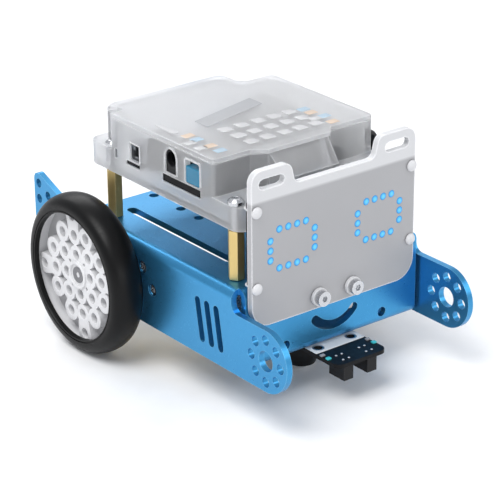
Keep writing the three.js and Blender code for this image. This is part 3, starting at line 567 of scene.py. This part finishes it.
def cable_mesh(centres):
    widths = [row[3:] for row in CABLE_PATH]
    section = cable_section()
    work = bmesh.new()
    rings = []
    for i, middle in enumerate(centres):
        heading = (centres[min(i + 1, CABLE_SAMPLES)] - centres[max(i - 1, 0)]).normalized()
        width_way = blend_points(widths, i / CABLE_SAMPLES)
        rings.append(cable_ring(work, section, middle, heading, width_way))
    for here, there in zip(rings, rings[1:]):
        bridge(work, here, there)
    work.faces.new(rings[0])
    work.faces.new(list(reversed(rings[-1])))
    face_out(work)
    return smooth(finished(work, "patch_cable_jacket"), 60)


def add_cable():
    lines = [row[:3] for row in CABLE_PATH]
    centres = [blend_points(lines, i / CABLE_SAMPLES) for i in range(CABLE_SAMPLES + 1)]
    cable = finish_piece(cable_mesh(centres), "patch_cable_jacket", "robot", "cable_jacket",
                         ["patch_cable"])
    plugs = [refined(plug, PLUG_ROUND) for plug in ("patch_plug_case", "patch_plug_display")]


# ---------------------------------------------------------------- wheels

TYRE_HALF = 6.95
TYRE_MIDDLE = 53.55
HUB_PITCH = 8.0
HUB_TURN = 0.124
TYRE_LIP = 25.4
TYRE_SHOULDER = 26.6
TYRE_STEPS = 40
TREAD_SQUARENESS = 0.8
# the bead with its groove, as (inwards from the side, radius)
TYRE_BEAD = [(0.0, 26.45), (0.4, 26.35), (0.4, 26.2), (0.1, 26.05), (0.1, 25.6),
             (0.45, TYRE_LIP), (2.2, TYRE_LIP), (2.2, 29.3)]


def tyre_profile():
    """The rounded tread and both beads, as (along the axle, radius)."""
    crown = []
    for i in range(TYRE_STEPS + 1):
        angle = math.pi * (i / TYRE_STEPS - 0.5)
        rise = (AXLE_Z - TYRE_SHOULDER) * max(math.cos(angle), 0) ** TREAD_SQUARENESS
        crown.append((TYRE_HALF * math.sin(angle), TYRE_SHOULDER + rise))
    outer = [(TYRE_HALF - inward, radius) for inward, radius in TYRE_BEAD]
    inner = [(inward - TYRE_HALF, radius) for inward, radius in reversed(TYRE_BEAD)]
    return crown + outer + inner


def lattice_cells():
    """Grid places of the rings: within three steps of the axle, without the four at (2, 2)."""
    span = range(-3, 4)
    cells = [(i, j) for i in span for j in span]
    return [(i, j) for i, j in cells if 0 < math.hypot(i, j) <= 3 and abs(i * j) != 4]


def diamond(u, v):
    """The opening left between four touching rings around (u, v)."""
    half = HUB_PITCH / 2
    reach = half - 0.1
    outline = []
    for k in range(4):
        heading = math.radians(45 + 90 * k)
        cx = u + half * math.sqrt(2) * math.cos(heading)
        cy = v + half * math.sqrt(2) * math.sin(heading)
        middle = 225 + 90 * k
        for step in range(7):
            angle = math.radians(middle + 33 - 11 * step)
            outline.append((cx + reach * math.cos(angle), cy + reach * math.sin(angle)))
    return outline


def lattice_edge(rings, reach, limit, steps=720):
    """The outline round all the rings, seen from the axle and cut off at the rim."""
    outline = []
    for step in range(steps):
        angle = 2 * math.pi * step / steps
        far = 0
        for u, v in rings:
            along = u * math.cos(angle) + v * math.sin(angle)
            aside = v * math.cos(angle) - u * math.sin(angle)
            if abs(aside) < reach:
                far = max(far, along + math.sqrt(reach * reach - aside * aside))
        far = min(far, limit)
        outline.append((far * math.cos(angle), far * math.sin(angle)))
    return outline


def stand_up(co):
    """Turns a flat hub plate upright, its face outwards, to the hub's own angle."""
    cos = math.cos(HUB_TURN)
    sin = math.sin(HUB_TURN)
    return Vector((co.z, -(co.x * cos - co.y * sin), co.x * sin + co.y * cos))


# the plate behind the lattice, the lattice, and the small holes beside the boss
WEB = dict(radius=27.4, bore=3.2, thickness=0.8, x=-52.9)
LATTICE = dict(eye=2.05, reach=4.3, limit=27.2, thickness=3.8, x=-55.1)
PIN_HOLE = dict(radius=0.75, out=1.22)
# closed outlines turned about the axle, as (x, radius)
RIM = [(-58, 27.4), (-57.7, 27), (-49.4, 27), (-49.1, 27.3), (-49.1, 28.7), (-49.4, 29),
       (-57.6, 29), (-58, 28.6)]
BOSS = [(-57.9, 4.7), (-57.6, 4.4), (-55.0, 4.3), (-54.9, 1.7), (-53.7, 1.6), (-53.5, 3),
        (-46.9, 3), (-46.8, 3.2), (-46.8, 5.2), (-47.2, 5.6), (-57.6, 5.6), (-57.9, 5.3)]


def web_mesh():
    outlines = [ring_points(0, 0, WEB["radius"], 96), ring_points(0, 0, WEB["bore"])]
    web = sheet_mesh("web", outlines, WEB["thickness"], 0.1)
    return move_mesh(shift_mesh(web, z=WEB["x"]), stand_up)


def lattice_holes(rings):
    """The eye in each ring, the gaps between rings and the small holes beside the boss."""
    halves = [n + 0.5 for n in range(-3, 3)]
    gaps = [(i * HUB_PITCH, j * HUB_PITCH) for i in halves for j in halves
            if 1.0 < math.hypot(i, j) < 2.0]
    out = HUB_PITCH / 2 * PIN_HOLE["out"]
    pins = [(i * out, j * out) for i in (-1, 1) for j in (-1, 1)]
    holes = [ring_points(u, v, LATTICE["eye"]) for u, v in rings]
    holes += [diamond(u, v) for u, v in gaps]
    return holes + [ring_points(u, v, PIN_HOLE["radius"], 12) for u, v in pins]


def hub_mesh():
    rings = [(i * HUB_PITCH, j * HUB_PITCH) for i, j in lattice_cells()]
    outline = lattice_edge(rings, LATTICE["reach"], LATTICE["limit"])
    plate = sheet_mesh("lattice", [outline] + lattice_holes(rings), LATTICE["thickness"], 0.15)
    lattice = move_mesh(shift_mesh(plate, z=LATTICE["x"]), stand_up)
    return merged("hub", [lattice, turned_mesh("rim", RIM), turned_mesh("boss", BOSS, 64)])


def place_on_side(mesh, side):
    """Moves a mesh drawn about the axle of the -x wheel to the wheel on that side."""
    move_mesh(mesh, lambda co: Vector((-side * co.x, AXLE.y + co.y, AXLE.z + co.z)))
    if side > 0:
        edited(mesh, face_back)
    return mesh


def hub_part(mesh, side):
    return smooth(edited(place_on_side(mesh, side), face_out), 38)


def add_wheels():
    for name, side in (("right", -1), ("left", 1)):
        wheel = name + "_wheel"
        tread = turned_mesh(name + "_tyre_moulded", tyre_profile(), 160)
        tyre = smooth(place_on_side(shift_mesh(tread, x=-TYRE_MIDDLE), side), 50)
        finish_piece(tyre, name + "_tyre_moulded", wheel, "tyre_rubber", [name + "_tyre"])
        lattice = finish_piece(hub_part(hub_mesh(), side), name + "_hub_lattice", wheel,
                               "hub_white", [name + "_wheel_hub"])
        weigh_normals(lattice)
        # the web gets the darker white, painted shade behind the lattice
        finish_piece(hub_part(web_mesh(), side), name + "_hub_web", wheel, "hub_white",
                     material=MATERIALS["hub_painted_shade"])


# ---------------------------------------------------------------- display

DISPLAY_FRONT = -87.4
# linear colours of a lit dot
EYE_RIM = (0.0045, 0.18, 0.4275)
EYE_MIDDLE = (0.09, 0.45, 0.90)
EYE_STRENGTH = 0.35
LED = dict(x=-1.2, z=72.1, across=4.08, down=3.78, radius=1.45, columns=16)


def eye_dots():
    """The lit dots: two rounded squares of six columns and five rows."""
    dots = []
    for first in (0, LED["columns"] - 6):
        for column in range(6):
            for row in range(5):
                side = column in (0, 5)
                end = row in (0, 4)
                if side != end:
                    dots.append((first + column, row))
    return dots


# each ring of a dot: share of its radius, how far it stands out, and its shade for glow()
DOT_RINGS = ((1.0, 0.0, 0.0), (0.8, 0.10, 0.35), (0.45, 0.16, 0.85), (0.2, 0.18, 1.0))
DOT_STEPS = 20
DOT_CLEARANCE = 0.02
DOT_DEPTH = 0.25


def add_dot(work, middle, x, z):
    """One domed dot in the display face, closed at the back."""
    loops = []
    for size, proud, shade in DOT_RINGS:
        y = DISPLAY_FRONT - DOT_CLEARANCE - proud
        loop = [work.verts.new(at(u, y, v))
                for u, v in ring_points(x, z, LED["radius"] * size, DOT_STEPS)]
        for vertex in loop:
            vertex[middle] = shade
        loops.append(loop)
    for outer, inner in zip(loops, loops[1:]):
        bridge(work, outer, inner)
    work.faces.new(loops[-1])
    under = [work.verts.new(at(u, DISPLAY_FRONT + DOT_DEPTH, v))
             for u, v in ring_points(x, z, LED["radius"], DOT_STEPS)]
    bridge(work, under, loops[0])
    work.faces.new(list(reversed(under)))


def add_eyes():
    work = bmesh.new()
    middle = work.verts.layers.float.new("middle")
    for column, row in eye_dots():
        x = LED["x"] + (column - (LED["columns"] - 1) / 2) * LED["across"]
        add_dot(work, middle, x, LED["z"] - row * LED["down"])
    face_out(work)
    mesh = finished(work, "display_eyes")
    mesh.shade_smooth()
    finish_piece(mesh, "display_eyes", "robot", "display_frost",
                 material=glow("blue_light", EYE_RIM, EYE_MIDDLE, EYE_STRENGTH))


# ---------------------------------------------------------------- case details

# x of the case's outer right face, and height of the lid
CASE_RIGHT_WALL = -39.0
LID_TOP = 93.9


def on_wall(mesh, x):
    """Stands a flat mesh (its x is along y, its y is up) against a side wall at x."""
    return move_mesh(mesh, lambda co: at(x + co.z / MM, co.x / MM, co.y / MM))


def on_lid(mesh, z):
    """Lays a flat mesh on a level at z."""
    return move_mesh(mesh, lambda co: at(co.x / MM, co.y / MM, z + co.z / MM))


def rounded(u0, v0, u1, v1, radius, steps=6):
    """A rectangle with rounded corners."""
    outline = ring_points(u1 - radius, v0 + radius, radius, steps, -90, 0, False)
    outline += ring_points(u1 - radius, v1 - radius, radius, steps, 0, 90, False)
    outline += ring_points(u0 + radius, v1 - radius, radius, steps, 90, 180, False)
    outline += ring_points(u0 + radius, v0 + radius, radius, steps, 180, 270, False)
    return outline


def arch(y, half, z0, z1):
    """A window with a flat bottom and a round top."""
    top = ring_points(y, z1 - half, half, 20, 0, 180, False)
    return [(y - half, z0), (y + half, z0)] + top


def add_flat(name, outlines, thickness, place, level, slot, round_off=0.1, material=None):
    """A small flat piece of the robot, laid on a wall or on a level by place()."""
    mesh = place(sheet_mesh(name, outlines, thickness, round_off), level)
    smooth(edited(mesh, face_out), SMOOTH_DEGREES)
    finish_piece(mesh, name, "robot", slot, material=material)


JACK = dict(y=-38.0, half=3.5, z0=80.8, z1=90.6)
JACK_BORE = dict(y=-38.0, z=86.6, radius=2.9)
# windows in the right wall, as (y, z) corner to corner
SWITCH_WINDOW = (-55.8, 80.4, -47.2, 89.6)
USB_WINDOW = (-17.9, 78.5, -11.5, 85.5)
SLOT_CLEARANCE = 0.15
FRAME_DROP = 0.1
USB_WALL = 0.45
# thickness of a fitting, and how far inside the wall its middle lies
NOSE_SET = (2.0, 1.2)
SHELL_SET = (2.2, 1.4)
BOARD_SET = (3.6, 2.2)
# edges of the boards that show through the wall, as (y, z) corner to corner
BOARD_EDGES = {
    "board_edge_switch": (-55.6, 76.5, -32.2, 79.4),
    "board_edge_usb": (-17.7, 76.2, -8.9, 77.6),
}


def grown_arch(by, drop):
    """The jack's window, larger by that much at its sides and top and by drop at its foot."""
    return arch(JACK["y"], JACK["half"] + by, JACK["z0"] - drop, JACK["z1"] + by)


def grown(window, by, drop, radius):
    """A rectangular window, larger in the same way."""
    y0, z0, y1, z1 = window
    return rounded(y0 - by, z0 - drop, y1 + by, z1 + by, radius)


def add_window_frames():
    """Raised rims: outer and inner outline, thickness, and how far the middle stands out."""
    rims = {
        "jack_window_frame": ([grown_arch(0.7, FRAME_DROP), grown_arch(0, 0)], 0.5, 0.2),
        "switch_window_frame": ([grown(SWITCH_WINDOW, 0.7, FRAME_DROP, 1.4),
                                 grown(SWITCH_WINDOW, 0, 0, 0.8)], 0.5, 0.2),
        "usb_window_frame": ([grown(USB_WINDOW, 0.45, FRAME_DROP, 0.7),
                              grown(USB_WINDOW, 0, 0, 0.3)], 0.4, 0.15),
    }
    for name, (edges, thickness, proud) in rims.items():
        add_flat(name, edges, thickness, on_wall, CASE_RIGHT_WALL - proud, "case_frost")


def add_in_wall(name, outlines, setting, slot, round_off=0.1):
    thickness, depth = setting
    add_flat(name, outlines, thickness, on_wall, CASE_RIGHT_WALL + depth, slot, round_off)


def add_case_fittings():
    """The window frames, and what stands in the windows and shows through the wall."""
    add_window_frames()
    nose = grown_arch(-SLOT_CLEARANCE, -SLOT_CLEARANCE)
    bore = ring_points(JACK_BORE["y"], JACK_BORE["z"], JACK_BORE["radius"])
    add_in_wall("power_jack_nose", [nose, bore], NOSE_SET, "black_plastic", 0.2)
    shell = grown(USB_WINDOW, -SLOT_CLEARANCE, -SLOT_CLEARANCE, 0.4)
    inset = -SLOT_CLEARANCE - USB_WALL
    mouth = grown(USB_WINDOW, inset, inset, 0.3)
    add_in_wall("usb_socket_shell", [shell, mouth], SHELL_SET, "socket_metal")
    for name, corners in BOARD_EDGES.items():
        add_in_wall(name, [rounded(*corners, 0.2)], BOARD_SET, "circuit_board")


# middles of the keys and port labels on the lid, as (x, y), and their sizes
LID_PADS = dict(x=(-16.5, -8.9, -1.0, 6.5, 13.8), y=(-41.5, -49.3, -57.2), size=(4.7, 4.5))
LABELS = {
    "orange": ((-31, -38), (-31, -51.5), (20, -47), (20, -59.7)),
    "blue": ((-31, -43.2), (-31, -57.4), (20, -42.5), (21.5, -53)),
    "pale": ((-35, -44.5), (-35, -51), (17, -53)),
}
LABEL_SIZE = (4.6, 3.4)
LABEL_COLOURS = {
    "orange": (0.90, 0.74, 0.60),
    "blue": (0.60, 0.76, 0.88),
    "pale": (0.80, 0.80, 0.81),
}
SMOKE = (0.58, 0.59, 0.61)
LID_BAR = (-34.3, -33, -31.5, -21.5)
LID_BAND = [(-20, -35.2), (12, -27.5), (12, -19.5), (-20, -27.2)]
MARK_LEVEL = LID_TOP + 0.05
# thickness and edge rounding of the raised marks and of the printed ones
RAISED = (0.24, 0.08)
BAR = (0.2, 0.08)
PRINTED = (0.16, 0.06)


def tint(name, colour):
    return paint(name, colour, 0.35, mottle=0.03, grain=700, bump=0.000006, edge=colour,
                 transmission=0.5, ior=1.2)


def pad(x, y, size, radius):
    across, along = size
    return rounded(x - across / 2, y - along / 2, x + across / 2, y + along / 2, radius)


def add_mark(name, outline, relief, material):
    thickness, round_off = relief
    add_flat(name, [outline], thickness, on_lid, MARK_LEVEL, "case_frost", round_off, material)


def add_lid_marks():
    """The keys, port labels, bar and slanted band on the lid."""
    tints = {name: tint(name + "_print", colour) for name, colour in LABEL_COLOURS.items()}
    for i, x in enumerate(LID_PADS["x"]):
        for j, y in enumerate(LID_PADS["y"]):
            key = pad(x, y, LID_PADS["size"], 0.5)
            add_mark(f"lid_pad_{i + 1}_{j + 1}", key, RAISED, tints["pale"])
    for colour, places in LABELS.items():
        for k, (x, y) in enumerate(places):
            label = pad(x, y, LABEL_SIZE, 0.4)
            add_mark(f"port_label_{colour}_{k + 1}", label, PRINTED, tints[colour])
    add_mark("lid_bar", rounded(*LID_BAR, 0.5), BAR, tints["pale"])
    add_mark("lid_band", LID_BAND, PRINTED, tint("smoke_print", SMOKE))


# ---------------------------------------------------------------- line sensor details

SENSOR_TOP = 17.6
SENSOR_MIDDLE = 0.8
# the white strip and the chips, as y from and to
STRIP = (-88.2, -81.2)
STRIP_HALF = 11.8
SCREW_HOLE = dict(side=7.9, y=-84.6, clear=2.3, outer=2.2, inner=1.65)
PART = dict(side=11, half=0.9)
CHIP = (-91.5, -90.1)
LIGHT = (-95.1, -93.5)
SOLDER_SIDES = (4.2, 6.9)
SOLDER_ROWS = (-93.7, -97.8)
# the dome of a solder joint, as (radius, height)
SOLDER_RINGS = ((0.52, -0.05), (0.50, 0.06), (0.38, 0.22), (0.18, 0.32))


def on_sensor(name, outlines, thickness, height, slot, round_off, material=None):
    add_flat(name, outlines, thickness, on_lid, SENSOR_TOP + height, slot, round_off, material)


def sensor_part(side, ends):
    x = SENSOR_MIDDLE + side * PART["side"]
    return [rounded(x - PART["half"], ends[0], x + PART["half"], ends[1], 0.2)]


def solder_dot(name, place):
    """A small domed solder joint standing on its place."""
    work = bmesh.new()
    loops = []
    for radius, height in SOLDER_RINGS:
        loops.append([work.verts.new(place + Vector((u * MM, v * MM, height * MM)))
                      for u, v in ring_points(0, 0, radius, 16)])
    for lower, upper in zip(loops, loops[1:]):
        bridge(work, lower, upper)
    work.faces.new(loops[-1])
    work.faces.new(list(reversed(loops[0])))
    face_out(work)
    mesh = finished(work, name)
    mesh.shade_smooth()
    return mesh


def add_solder(name, side):
    for k, across in enumerate(SOLDER_SIDES):
        for n, y in enumerate(SOLDER_ROWS):
            place = at(SENSOR_MIDDLE + side * across, y, SENSOR_TOP)
            mesh = solder_dot(f"solder_{name}_{k}_{n}", place)
            finish_piece(mesh, mesh.name, "robot", "socket_metal")


def add_sensor_details():
    """The white strip with its ringed holes, and the small parts on the sensor board."""
    white = paint("white_print", (0.80, 0.80, 0.79), 0.4, mottle=0.03, grain=600)
    cyan = paint("cyan_part", (0.05, 0.50, 0.55), 0.35, mottle=0.1, grain=900)
    grey = paint("grey_part", (0.30, 0.30, 0.31), 0.4, mottle=0.1, grain=900)
    hole_x = {side: SENSOR_MIDDLE + side * SCREW_HOLE["side"] for side in (-1, 1)}
    y = SCREW_HOLE["y"]
    strip = rounded(SENSOR_MIDDLE - STRIP_HALF, STRIP[0], SENSOR_MIDDLE + STRIP_HALF, STRIP[1], 0.3)
    holes = [ring_points(x, y, SCREW_HOLE["clear"], 28) for x in hole_x.values()]
    on_sensor("sensor_white_strip", [strip] + holes, 0.12, 0.06, "circuit_board", 0.04, white)
    for name, side in (("right", -1), ("left", 1)):
        ring = [ring_points(hole_x[side], y, SCREW_HOLE[edge], 28) for edge in ("outer", "inner")]
        on_sensor(f"sensor_hole_ring_{name}", ring, 0.16, 0.08, "socket_metal", 0.05)
        chip = sensor_part(side, CHIP)
        on_sensor(f"sensor_chip_{name}", chip, 0.6, 0.3, "black_plastic", 0.1, grey)
        light = sensor_part(side, LIGHT)
        on_sensor(f"sensor_light_{name}", light, 0.7, 0.35, "white_plastic", 0.15, cyan)
        add_solder(name, side)


# ---------------------------------------------------------------- everything else

# edge rounding of the CAD pieces in millimetres, where it isn't EDGE_ROUND
EDGE_ROUND = 0.15
ROUND_OFF = {
    "chassis": 0.3, "case_base": 0.5, "case_lid": 0.5, "display_plate": 0.4,
    "right_gearbox": 0.5, "left_gearbox": 0.5, "caster_housing": 0.25,
    "usb_socket": 0.15, "power_switch_button": 0.3, "buzzer": 0.3,
}
# nodes that the functions above replace
HAND_BUILT = {"patch_cable", "patch_plug_case", "patch_plug_display", "right_tyre", "left_tyre",
              "right_wheel_hub", "left_wheel_hub"}

add_camera()
add_cable()
add_studio()
add_wheels()
add_eyes()
add_case_fittings()
add_lid_marks()
add_sensor_details()
for part in SLOT_OF:
    if part not in HAND_BUILT:
        refined(part, ROUND_OFF.get(part, EDGE_ROUND))
